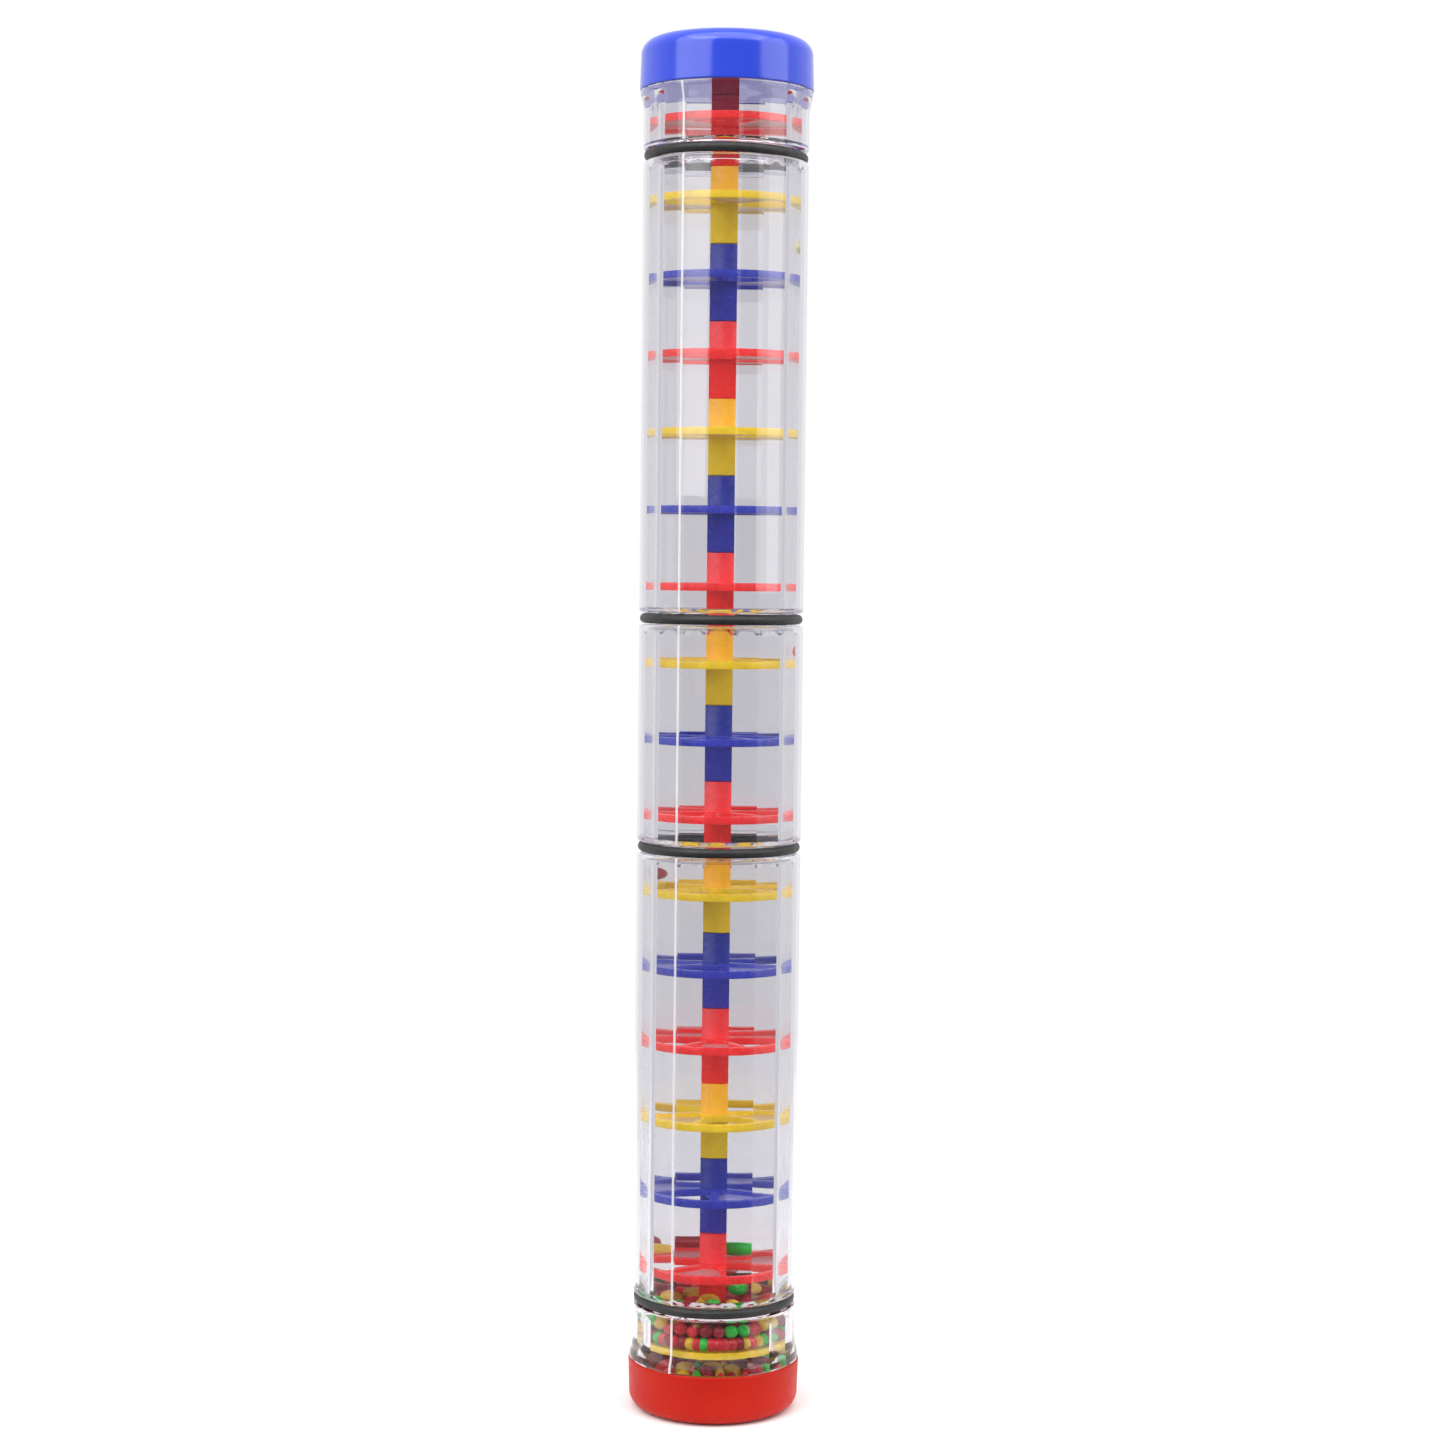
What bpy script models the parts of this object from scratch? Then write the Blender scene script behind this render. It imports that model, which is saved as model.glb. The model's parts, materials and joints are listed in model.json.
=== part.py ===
"""Rainmaker toy: a clear tube with a stack of slotted discs and small beads inside.

The toy stands upright on its red cap. The origin is the centre of that cap's flat
face, +Z runs up the tube and -Y is the front. Dimensions are in millimetres and are
turned into metres where a mesh is made.
"""
import math

import bmesh
import bpy
from mathutils import Matrix, Vector

MM = 0.001
GAP = 0.3                      # clearance between neighbouring pieces
FRONT = 270.0                  # direction of the front, degrees anticlockwise from +X

# Clear tube: round outside, flat facets inside
LENGTH = 400.0
TUBE_RADIUS = 24.0
FACETS = 18
FACET_TURN = -11.0             # first inner corner, degrees from the front
FOOT_TURN = -13.8              # the same for the lowest section, which sits turned a little
BORE_APOTHEM = 21.0            # axis to the middle of a facet
JOINT_HEIGHTS = (366.6, 233.0, 166.2, 32.6)

# Joint between two sections, measured from the middle of its O-ring
CORD_RADIUS = 1.4
CORD_SIDES = 6
RING_RADIUS = 22.4
RING_SIDES = 24
GROOVE_HALF = 1.7
GROOVE_FLOOR = 20.7
NECK_BORE = 19.5
SHOULDER_RADIUS = 23.3
SHOULDER_DROP = 0.8
SPIGOT_REACH = 3.2
CONE_END = 3.2

# End caps
CAP_RADIUS = 25.2
CAP_SHOULDER_RADIUS = 24.9
CAP_CORNER = 4.5
CAP_HEIGHT = 14.6
CAP_PLATE = 2.4
CAP_BORE = 23.7
CORNER_STEPS = 3
COLLAR_RADIUS = 25.0
FLARE = ((5.8, 0.0), (3.4, 0.2), (1.4, 0.6), (0.0, 1.0))   # (below the collar, share of the flare)

# Disc stack
DISC_COUNT = 17
PITCH = 22.26
STACK_TOP = 386.1
HUB_RADIUS = 4.0
HUB_SIDES = 12
PLATE_RISE = 0.9               # plate's middle above the hub's middle
PLATE_THICKNESS = 2.1
PLATE_RADIUS = 20.4
PLATE_SIDES = 30
RIM_BORE = 18.4
WEB_THICKNESS = 0.9
SECTOR_COUNT = 3
OPENING_HALF_ANGLE = 32.0
SPOKE_HALF = 0.9
SECTOR_INNER = 5.8
SECTOR_FILLET = 1.6
SECTOR_ARC_STEPS = 5
KEY_HALF = 1.9                 # half the side of the square spigot
KEY_LENGTH = 10.2
KEY_SLACK = 0.4
FOOT_KEY_LENGTH = 4.7
DISC_STEP = 45.0               # turn from one disc to the next, degrees
FIRST_DISC_TURN = 147.0        # first disc's slot, degrees anticlockwise from +X

# Beads
BEAD_RADIUS = 2.0
BED_RADIUS = 20.4
BED_NECK_RADIUS = 19.1
BED_BORE = 4.4
BED_SIDES = 24
UPPER_BED_TOP = 34.9

# name, colour, carrying disc (0 = the upper bed), distance from the axis, direction, lift
BEADS = (
    ("bead_disc03_yellow", "pale_yellow", 3, 18.7, 13.0, 6.8),
    ("bead_disc08_red", "red", 8, 18.6, 21.0, 0.0),
    ("bead_disc11_maroon", "maroon", 11, 18.5, 139.0, 0.0),
    ("bead_disc16_maroon_a", "maroon", 16, 15.2, 120.0, 0.0),
    ("bead_disc16_maroon_b", "maroon", 16, 18.6, 137.0, 0.0),
    ("bead_disc16_yellow", "yellow", 16, 14.6, 163.0, 0.0),
    ("bead_disc16_green", "green", 16, 9.0, 35.0, 0.0),
    ("bead_bed_green_a", "green", 0, 12.0, 306.0, 0.0),
    ("bead_bed_yellow", "yellow", 0, 14.8, 322.0, 0.0),
    ("bead_bed_red_a", "red", 0, 13.0, 186.0, 0.0),
    ("bead_bed_maroon", "maroon", 0, 13.0, 208.0, 0.0),
    ("bead_bed_red_b", "red", 0, 12.0, 62.0, 0.0),
    ("bead_bed_green_b", "green", 0, 13.5, 84.0, 0.0),
)

# name: linear colour, roughness, metallic, alpha
FINISHES = {
    "clear": ((0.86, 0.87, 0.90), 0.05, 0.0, 0.25),
    "rubber": ((0.012, 0.012, 0.012), 0.55, 0.0, 1.0),
    "cap_blue": ((0.035, 0.085, 0.75), 0.28, 0.0, 1.0),
    "cap_red": ((0.68, 0.022, 0.010), 0.35, 0.0, 1.0),
    "disc_red": ((0.70, 0.020, 0.018), 0.30, 0.0, 1.0),
    "disc_yellow": ((0.72, 0.42, 0.020), 0.30, 0.0, 1.0),
    "disc_blue": ((0.018, 0.030, 0.36), 0.30, 0.0, 1.0),
    "pale_yellow": ((0.75, 0.68, 0.30), 0.15, 0.0, 1.0),
    "yellow": ((0.62, 0.36, 0.020), 0.15, 0.0, 1.0),
    "red": ((0.55, 0.015, 0.012), 0.15, 0.0, 1.0),
    "maroon": ((0.13, 0.006, 0.010), 0.15, 0.0, 1.0),
    "green": ((0.020, 0.42, 0.050), 0.15, 0.0, 1.0),
    "mixed": ((0.35, 0.15, 0.05), 0.30, 0.0, 1.0),
}
DISC_FINISHES = ("disc_red", "disc_yellow", "disc_blue")


def clear_scene():
    for old in list(bpy.data.objects):
        bpy.data.objects.remove(old, do_unlink=True)


def material(name, finish):
    colour, roughness, metallic, alpha = FINISHES[finish]
    made = bpy.data.materials.new(name)
    made.use_nodes = True
    shader = made.node_tree.nodes["Principled BSDF"]
    shader.inputs["Base Color"].default_value = (*colour, 1.0)
    shader.inputs["Roughness"].default_value = roughness
    shader.inputs["Metallic"].default_value = metallic
    shader.inputs["Alpha"].default_value = alpha
    return made


def place(name, mesh, finish, location=(0.0, 0.0, 0.0), turn=(0.0, 0.0, 0.0)):
    """Put a mesh in the scene as one named piece; location in mm, turn in degrees."""
    mesh.name = name
    piece = bpy.data.objects.new(name, mesh)
    bpy.context.collection.objects.link(piece)
    piece.location = Vector(location) * MM
    piece.rotation_euler = [math.radians(angle) for angle in turn]
    mesh.materials.clear()
    mesh.materials.append(material(name, finish))
    return piece


def smooth(mesh, angle=35.0):
    mesh.shade_smooth()
    mesh.set_sharp_from_angle(angle=math.radians(angle))


# --- Turned and extruded solids ---

def round_ring(radius, height, sides, turn=0.0):
    step = math.tau / sides
    start = math.radians(turn)
    return [Vector((radius * math.cos(start + i * step), radius * math.sin(start + i * step), height))
            for i in range(sides)]


def faceted_ring(apothem, height, turn):
    """Corners of the polygon at even places, the middles of its flats at odd ones."""
    corner = apothem / math.cos(math.pi / FACETS)
    ring = round_ring(apothem, height, 2 * FACETS, turn)
    for i in range(0, 2 * FACETS, 2):
        ring[i] *= corner / apothem
        ring[i].z = height
    return ring


def loft(rings, closed):
    """Skin a list of rings; a closed loft joins the last ring to the first."""
    shape = bmesh.new()
    rows = [[shape.verts.new(point * MM) for point in ring] for ring in rings]
    pairs = list(zip(rows, rows[1:]))
    if closed:
        pairs.append((rows[-1], rows[0]))
    for low, high in pairs:
        for i in range(len(low)):
            j = (i + 1) % len(low)
            shape.faces.new((low[i], low[j], high[j], high[i]))
    if not closed:
        shape.faces.new(reversed(rows[0]))
        shape.faces.new(rows[-1])
    mesh = bpy.data.meshes.new("loft")
    shape.to_mesh(mesh)
    shape.free()
    return mesh


def cylinder(radius, bottom, top, sides):
    return loft([round_ring(radius, bottom, sides), round_ring(radius, top, sides)], closed=False)


def square_bar(half, bottom, top, turn=0.0):
    corner = half * math.sqrt(2.0)
    rings = [round_ring(corner, height, 4, 45.0 + turn) for height in (bottom, top)]
    return loft(rings, closed=False)


def boolean(mesh, operation, tool):
    """Join a mesh with a tool mesh, or cut it by one, and return the result."""
    body = bpy.data.objects.new("body", mesh)
    helper = bpy.data.objects.new("tool", tool)
    for item in (body, helper):
        bpy.context.collection.objects.link(item)
    change = body.modifiers.new("Boolean", "BOOLEAN")
    change.operation = operation
    change.solver = "EXACT"
    change.object = helper
    view = bpy.context.evaluated_depsgraph_get()
    result = bpy.data.meshes.new_from_object(body.evaluated_get(view))
    for item in (body, helper):
        bpy.data.objects.remove(item, do_unlink=True)
    return result


# --- Clear tube and O-rings ---

def collar_end(top, upward, turn):
    """Outer rings of a section's end inside a cap, listed from the tube towards the cap."""
    sign = 1.0 if upward else -1.0
    stations = 2 * FACETS
    flare = COLLAR_RADIUS - TUBE_RADIUS
    rings = [round_ring(TUBE_RADIUS + share * flare, top - sign * below, stations, turn)
             for below, share in FLARE]
    spigot = CAP_BORE - GAP
    inside = CAP_HEIGHT - CAP_PLATE - 2.0 * GAP
    rings.append(round_ring(spigot, top, stations, turn))
    rings.append(round_ring(spigot, top + sign * inside, stations, turn))
    rings.append(faceted_ring(BORE_APOTHEM, top + sign * inside, turn))
    return rings


def socket_end(joint, turn):
    """Upper end of a section, below a groove, from the outside to the bore."""
    stations = 2 * FACETS
    shoulder = joint - GROOVE_HALF
    socket = GROOVE_FLOOR + GAP
    floor = joint - SPIGOT_REACH - GAP
    return [
        round_ring(TUBE_RADIUS, shoulder - SHOULDER_DROP, stations, turn),
        round_ring(SHOULDER_RADIUS, shoulder, stations, turn),
        round_ring(socket, shoulder, stations, turn),
        round_ring(socket, floor, stations, turn),
        faceted_ring(BORE_APOTHEM, floor - SHOULDER_DROP, turn),
    ]


def spigot_end(joint, turn):
    """Lower end of a section, above a groove, from the outside to the bore."""
    stations = 2 * FACETS
    shoulder = joint + GROOVE_HALF
    return [
        round_ring(TUBE_RADIUS, shoulder + SHOULDER_DROP, stations, turn),
        round_ring(SHOULDER_RADIUS, shoulder, stations, turn),
        round_ring(GROOVE_FLOOR, shoulder, stations, turn),
        round_ring(GROOVE_FLOOR, joint - SPIGOT_REACH, stations, turn),
        round_ring(NECK_BORE, joint - SPIGOT_REACH, stations, turn),
        round_ring(NECK_BORE, shoulder, stations, turn),
        faceted_ring(BORE_APOTHEM, joint + CONE_END, turn),
    ]


def tube_sections():
    cap_edge = CAP_HEIGHT + GAP
    for number in range(len(JOINT_HEIGHTS) + 1):
        last = number == len(JOINT_HEIGHTS)
        turn = FRONT + (FOOT_TURN if last else FACET_TURN)
        if last:
            lower = collar_end(cap_edge, False, turn)
        else:
            lower = spigot_end(JOINT_HEIGHTS[number], turn)
        if number == 0:
            upper = collar_end(LENGTH - cap_edge, True, turn)
        else:
            upper = socket_end(JOINT_HEIGHTS[number - 1], turn)
        mesh = loft(list(reversed(lower)) + upper, closed=True)
        smooth(mesh, 15.0)
        place(f"tube_section_{number + 1}", mesh, "clear")


def o_rings():
    for number, height in enumerate(JOINT_HEIGHTS, start=1):
        rings = []
        for i in range(CORD_SIDES):
            angle = math.tau * i / CORD_SIDES
            radius = RING_RADIUS + CORD_RADIUS * math.cos(angle)
            rings.append(round_ring(radius, CORD_RADIUS * math.sin(angle), RING_SIDES))
        mesh = loft(rings, closed=True)
        smooth(mesh, 65.0)
        place(f"o_ring_{number}", mesh, "rubber", location=(0.0, 0.0, height))


# --- Caps ---

def cap_mesh(boss_top):
    """A cup standing on its flat end, with a central boss up to boss_top."""
    sides = 2 * FACETS
    flat = CAP_SHOULDER_RADIUS - CAP_CORNER
    profile = []
    for i in range(CORNER_STEPS + 1):
        angle = math.radians(90.0 * i / CORNER_STEPS)
        profile.append((flat + CAP_CORNER * math.sin(angle), CAP_CORNER * (1.0 - math.cos(angle))))
    profile += [
        (CAP_RADIUS, CAP_HEIGHT),
        (CAP_BORE, CAP_HEIGHT),
        (CAP_BORE, CAP_PLATE),
        (HUB_RADIUS, CAP_PLATE),
        (HUB_RADIUS, boss_top),
    ]
    return loft([round_ring(radius, height, sides) for radius, height in profile], closed=False)


def caps():
    boss = LENGTH - STACK_TOP - GAP
    key = square_bar(KEY_HALF, boss - 1.0, boss + GAP + KEY_LENGTH, -disc_turn(0))
    upper = boolean(cap_mesh(boss), "UNION", key)
    smooth(upper)
    place("top_cap", upper, "cap_blue", location=(0.0, 0.0, LENGTH), turn=(180.0, 0.0, 0.0))

    boss = stack_bottom() - GAP
    pocket = stack_bottom() - FOOT_KEY_LENGTH - GAP
    socket = square_bar(KEY_HALF + GAP, pocket, boss + 1.0, disc_turn(DISC_COUNT))
    lower = boolean(cap_mesh(boss), "DIFFERENCE", socket)
    smooth(lower)
    place("bottom_cap", lower, "cap_red")


# --- Discs ---

def stack_bottom():
    return STACK_TOP - DISC_COUNT * PITCH


def disc_turn(number):
    return FIRST_DISC_TURN - DISC_STEP * (number - 1)


def plate_middle(number):
    return STACK_TOP - (number - 0.5) * PITCH + PLATE_RISE


def polar(radius, angle):
    return Vector((radius * math.cos(angle), radius * math.sin(angle), 0.0))


def sector_outline(half_angle):
    """One slot or web between two spokes, centred on +X, with rounded hub corners."""
    half = math.radians(half_angle)
    sweep = half - math.asin(SPOKE_HALF / RIM_BORE)
    points = [polar(RIM_BORE, sweep * (2.0 * i / SECTOR_ARC_STEPS - 1.0))
              for i in range(SECTOR_ARC_STEPS + 1)]
    reach = SECTOR_INNER + SECTOR_FILLET
    centre = half - math.asin((SPOKE_HALF + SECTOR_FILLET) / reach)
    side = polar(reach, centre) + polar(SECTOR_FILLET, half + math.pi / 2.0)
    inner = polar(SECTOR_INNER, centre)
    points += [side, inner, Vector((inner.x, -inner.y, 0.0)), Vector((side.x, -side.y, 0.0))]
    return points


def sector_cutter(half_angle, first, spans):
    """Prisms for all slots, or all webs; spans lists the (bottom, top) of each prism."""
    shape = bmesh.new()
    outline = sector_outline(half_angle)
    for i in range(SECTOR_COUNT):
        spin = Matrix.Rotation(math.radians(first + 360.0 * i / SECTOR_COUNT), 3, "Z")
        for bottom, top in spans:
            low = [shape.verts.new((spin @ point + Vector((0.0, 0.0, bottom))) * MM)
                   for point in outline]
            high = [shape.verts.new((spin @ point + Vector((0.0, 0.0, top))) * MM)
                    for point in outline]
            shape.faces.new(reversed(low))
            shape.faces.new(high)
            for a in range(len(outline)):
                b = (a + 1) % len(outline)
                shape.faces.new((low[a], low[b], high[b], high[a]))
    mesh = bpy.data.meshes.new("sectors")
    shape.to_mesh(mesh)
    shape.free()
    return mesh


def disc_mesh(key_length):
    """Hub, plate with rim, spokes and webs, square spigot below and socket above."""
    middle = PITCH / 2.0 + PLATE_RISE
    bottom = middle - PLATE_THICKNESS / 2.0
    top = middle + PLATE_THICKNESS / 2.0
    hub_top = PITCH - GAP
    over = 1.0
    mesh = cylinder(PLATE_RADIUS, bottom, top, PLATE_SIDES)
    web_half_angle = 180.0 / SECTOR_COUNT - OPENING_HALF_ANGLE
    slots = sector_cutter(OPENING_HALF_ANGLE, 0.0, [(bottom - over, top + over)])
    pocket = [(bottom + WEB_THICKNESS, top + over)]
    webs = sector_cutter(web_half_angle, 180.0 / SECTOR_COUNT, pocket)
    mesh = boolean(mesh, "DIFFERENCE", slots)
    mesh = boolean(mesh, "DIFFERENCE", webs)
    mesh = boolean(mesh, "UNION", cylinder(HUB_RADIUS, 0.0, hub_top, HUB_SIDES))
    mesh = boolean(mesh, "UNION", square_bar(KEY_HALF, -key_length, over))
    socket_floor = hub_top - KEY_LENGTH - KEY_SLACK
    socket = square_bar(KEY_HALF + GAP, socket_floor, hub_top + over, DISC_STEP)
    return boolean(mesh, "DIFFERENCE", socket)


def discs():
    pattern = disc_mesh(KEY_LENGTH)
    foot_pattern = disc_mesh(FOOT_KEY_LENGTH)
    for number in range(1, DISC_COUNT + 1):
        source = foot_pattern if number == DISC_COUNT else pattern
        mesh = source.copy()
        smooth(mesh)
        finish = DISC_FINISHES[(number - 1) % len(DISC_FINISHES)]
        base = STACK_TOP - number * PITCH
        turn = (0.0, 0.0, disc_turn(number))
        place(f"disc_{number:02d}", mesh, finish, location=(0.0, 0.0, base), turn=turn)


# --- Beads ---

def bed(name, profile):
    """A ring-shaped heap around the hub; profile lists (outer radius, height) upwards."""
    rings = [round_ring(BED_BORE, profile[0][1], BED_SIDES)]
    rings += [round_ring(radius, height, BED_SIDES) for radius, height in profile]
    rings.append(round_ring(BED_BORE, profile[-1][1], BED_SIDES))
    mesh = loft(rings, closed=True)
    smooth(mesh)
    place(name, mesh, "mixed")


def beds():
    half = PLATE_THICKNESS / 2.0
    lowest = plate_middle(DISC_COUNT)
    bed("bead_bed_lower", [(BED_RADIUS, CAP_PLATE + GAP), (BED_RADIUS, lowest - half - GAP)])
    neck = JOINT_HEIGHTS[-1] - SPIGOT_REACH
    bed("bead_bed_upper", [
        (BED_RADIUS, lowest + half + GAP),
        (BED_RADIUS, neck - 1.5),
        (BED_NECK_RADIUS, neck - 1.0),
        (BED_NECK_RADIUS, UPPER_BED_TOP),
    ])


def loose_beads():
    for name, finish, carrier, distance, direction, lift in BEADS:
        support = UPPER_BED_TOP
        if carrier:
            support = plate_middle(carrier) + PLATE_THICKNESS / 2.0
        shape = bmesh.new()
        bmesh.ops.create_icosphere(shape, subdivisions=2, radius=BEAD_RADIUS * MM)
        mesh = bpy.data.meshes.new(name)
        shape.to_mesh(mesh)
        shape.free()
        mesh.shade_smooth()
        spot = polar(distance, math.radians(direction))
        spot.z = support + GAP + BEAD_RADIUS + lift
        place(name, mesh, finish, location=spot)


clear_scene()
tube_sections()
o_rings()
caps()
discs()
beds()
loose_beads()
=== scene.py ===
import json
import math

import bmesh
import bpy
import numpy as np
from mathutils import Matrix, Vector


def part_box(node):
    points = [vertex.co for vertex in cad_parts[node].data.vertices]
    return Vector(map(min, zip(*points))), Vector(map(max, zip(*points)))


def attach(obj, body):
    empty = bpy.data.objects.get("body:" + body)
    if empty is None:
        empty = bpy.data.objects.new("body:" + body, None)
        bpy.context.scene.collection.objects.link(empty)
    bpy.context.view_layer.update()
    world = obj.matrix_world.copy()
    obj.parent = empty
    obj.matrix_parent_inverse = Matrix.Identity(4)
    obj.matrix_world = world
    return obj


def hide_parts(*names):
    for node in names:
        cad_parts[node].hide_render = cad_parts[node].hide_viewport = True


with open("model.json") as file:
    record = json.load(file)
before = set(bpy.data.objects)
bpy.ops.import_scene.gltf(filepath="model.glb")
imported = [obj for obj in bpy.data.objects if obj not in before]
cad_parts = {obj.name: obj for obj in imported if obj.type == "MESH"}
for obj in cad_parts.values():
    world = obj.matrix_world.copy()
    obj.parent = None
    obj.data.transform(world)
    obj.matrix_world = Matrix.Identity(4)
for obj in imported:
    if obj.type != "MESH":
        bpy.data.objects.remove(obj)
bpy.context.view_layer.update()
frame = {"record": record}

# Clear rainmaker toy: tube in five clear sections, two caps, four O-rings, a stack of
# slotted discs and a heap of beads. Lengths are in millimetres until a mesh is made.
MM = 0.001


def node_mm(name):
    """Lowest and highest corner of a CAD node, in millimetres."""
    low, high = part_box(name)
    return low / MM, high / MM


# --- Sizes that follow the frame ---
SECTIONS = 5
RINGS = 4
DISCS = 17
TUBE_RADIUS = node_mm("tube_section_2")[1].x
CAP_RADIUS = node_mm("bottom_cap")[1].x
LENGTH = node_mm("top_cap")[1].z
CAP_HEIGHT = node_mm("bottom_cap")[1].z
RING_HEIGHTS = [sum(corner.z for corner in node_mm(f"o_ring_{i + 1}")) / 2.0 for i in range(RINGS)]

# --- Sizes of the fine detail, the same as the CAD's where it has them ---
GAP = 0.3
FRONT = 270.0
FACETS = 18
FACET_TURN = -11.0
FOOT_TURN = -13.8
BORE_APOTHEM = 21.0
COLLAR_RADIUS = 25.0
FLARE_LENGTH = 5.8
CAP_BORE = 23.7
CAP_PLATE = 2.4
GROOVE_HALF = 1.7
GROOVE_FLOOR = 20.7
NECK_BORE = 19.5
SHOULDER_RADIUS = 23.3
SHOULDER_DROP = 0.8
SPIGOT_REACH = 3.2
CONE_END = 3.2
HUB_RADIUS = 4.0
PITCH = 22.26
STACK_TOP = 386.1
PLATE_RISE = 0.9
PLATE_THICKNESS = 2.1
PLATE_RADIUS = 20.4
BEAD_RADIUS = 2.0


# --- Camera ---

CAMERA_PLACE = (0.0007, -0.825, 0.2497)    # metres
CAMERA_LENS = 70.2
CAMERA_DOWN = 3.27                         # degrees below the horizontal
CAMERA_ROLL = 0.63


def add_camera():
    data = bpy.data.cameras.new("camera")
    data.sensor_width = 36.0
    data.lens = CAMERA_LENS
    camera = bpy.data.objects.new("camera", data)
    bpy.context.collection.objects.link(camera)
    pitch = Matrix.Rotation(math.radians(90.0 - CAMERA_DOWN), 4, "X")
    roll = Matrix.Rotation(math.radians(CAMERA_ROLL), 4, "Z")
    camera.matrix_world = Matrix.Translation(CAMERA_PLACE) @ pitch @ roll
    bpy.context.scene.camera = camera


add_camera()


# --- Mesh helpers ---

def polar(radius, degrees, height=0.0):
    angle = math.radians(degrees)
    return Vector((radius * math.cos(angle), radius * math.sin(angle), height))


def skin(rings, closed):
    """Faces between neighbouring rings of points; a closed skin joins the last to the first."""
    shape = bmesh.new()
    rows = [[shape.verts.new(point * MM) for point in ring] for ring in rings]
    pairs = list(zip(rows, rows[1:]))
    if closed:
        pairs.append((rows[-1], rows[0]))
    for low, high in pairs:
        for i in range(len(low)):
            j = (i + 1) % len(low)
            shape.faces.new((low[i], low[j], high[j], high[i]))
    if not closed:
        shape.faces.new(reversed(rows[0]))
        shape.faces.new(rows[-1])
    bmesh.ops.recalc_face_normals(shape, faces=shape.faces)
    return to_mesh(shape)


def to_mesh(shape):
    mesh = bpy.data.meshes.new("mesh")
    shape.to_mesh(mesh)
    shape.free()
    return mesh


def smooth(mesh, angle):
    mesh.shade_smooth()
    mesh.set_sharp_from_angle(angle=math.radians(angle))


def turned(profile, sides, closed=False):
    """A solid of revolution from (radius, height) pairs."""
    step = 360.0 / sides
    return skin([[polar(radius, i * step, height) for i in range(sides)] for radius, height in profile],
                closed)


def arc(centre, radius, start, end, steps):
    """(radius, height) points on a circular arc in the profile's plane, angles in degrees."""
    points = []
    for i in range(steps + 1):
        angle = math.radians(start + (end - start) * i / steps)
        points.append((centre[0] + radius * math.cos(angle), centre[1] + radius * math.sin(angle)))
    return points


def add_piece(name, mesh, finishes, body="tube", replaces=(), place=None):
    """Put a mesh in the scene, riding on its CAD body and standing for its CAD nodes."""
    mesh.name = name
    piece = bpy.data.objects.new(name, mesh)
    bpy.context.collection.objects.link(piece)
    for finish in finishes:
        mesh.materials.append(finish)
    if place:
        piece.matrix_world = place
    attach(piece, body)
    if replaces:
        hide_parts(*replaces)
    return piece


# --- Material helpers ---

def new_material(name):
    made = bpy.data.materials.new(name)
    made.use_nodes = True
    return made, made.node_tree, made.node_tree.nodes["Principled BSDF"]


def node(tree, kind, **settings):
    made = tree.nodes.new(kind)
    for key, value in settings.items():
        setattr(made, key, value)
    return made


def noise(tree, scale, detail=2.0, stretch=(1.0, 1.0, 1.0)):
    """A noise texture in the object's own space; scale is in features per metre."""
    place = node(tree, "ShaderNodeTexCoord")
    mapping = node(tree, "ShaderNodeMapping")
    mapping.inputs["Scale"].default_value = stretch
    texture = node(tree, "ShaderNodeTexNoise")
    texture.inputs["Scale"].default_value = scale
    texture.inputs["Detail"].default_value = detail
    tree.links.new(place.outputs["Object"], mapping.inputs["Vector"])
    tree.links.new(mapping.outputs["Vector"], texture.inputs["Vector"])
    return texture.outputs["Fac"]


def spread(tree, source, low, high):
    """Map a 0 to 1 texture onto a range of values."""
    made = node(tree, "ShaderNodeMapRange")
    made.inputs["From Min"].default_value = 0.3
    made.inputs["From Max"].default_value = 0.7
    made.inputs["To Min"].default_value = low
    made.inputs["To Max"].default_value = high
    tree.links.new(source, made.inputs["Value"])
    return made.outputs["Result"]


def blend_colours(tree, factor, first, second):
    made = node(tree, "ShaderNodeMix", data_type="RGBA")
    tree.links.new(factor, made.inputs["Factor"])
    made.inputs["A"].default_value = (*first, 1.0)
    made.inputs["B"].default_value = (*second, 1.0)
    return made.outputs["Result"]


def add_bump(tree, shader, source, strength, distance):
    bump = node(tree, "ShaderNodeBump")
    bump.inputs["Strength"].default_value = strength
    bump.inputs["Distance"].default_value = distance
    tree.links.new(source, bump.inputs["Height"])
    tree.links.new(bump.outputs["Normal"], shader.inputs["Normal"])


def scaled(colour, factor):
    return tuple(min(1.0, channel * factor) for channel in colour)


def moulded_plastic(name, colour, roughness, waviness=0.15, shine=0.5, glow=0.0):
    """Moulded plastic: slight colour flow, uneven gloss and a faint surface wave.

    The glow is painted light: emission that stands in for daylight coming through a thin wall.
    """
    made, tree, shader = new_material(name)
    flow = noise(tree, 60.0, 3.0)
    tint = blend_colours(tree, spread(tree, flow, 0.0, 1.0), scaled(colour, 0.94), scaled(colour, 1.06))
    tree.links.new(tint, shader.inputs["Base Color"])
    tree.links.new(spread(tree, noise(tree, 350.0), roughness * 0.85, roughness * 1.2),
                   shader.inputs["Roughness"])
    shader.inputs["IOR"].default_value = 1.5
    shader.inputs["Specular IOR Level"].default_value = shine
    # Painted light: the glow makes the plastic shine in its own colour though it is no lamp.
    shader.inputs["Emission Color"].default_value = (*colour, 1.0)
    shader.inputs["Emission Strength"].default_value = glow
    add_bump(tree, shader, noise(tree, 180.0, 1.0), waviness, 0.0001)
    return made


STYRENE_IOR = 1.57
TRAPPED_BOUNCES = 2.5          # reflections after which light leaks out of the wall


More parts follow.
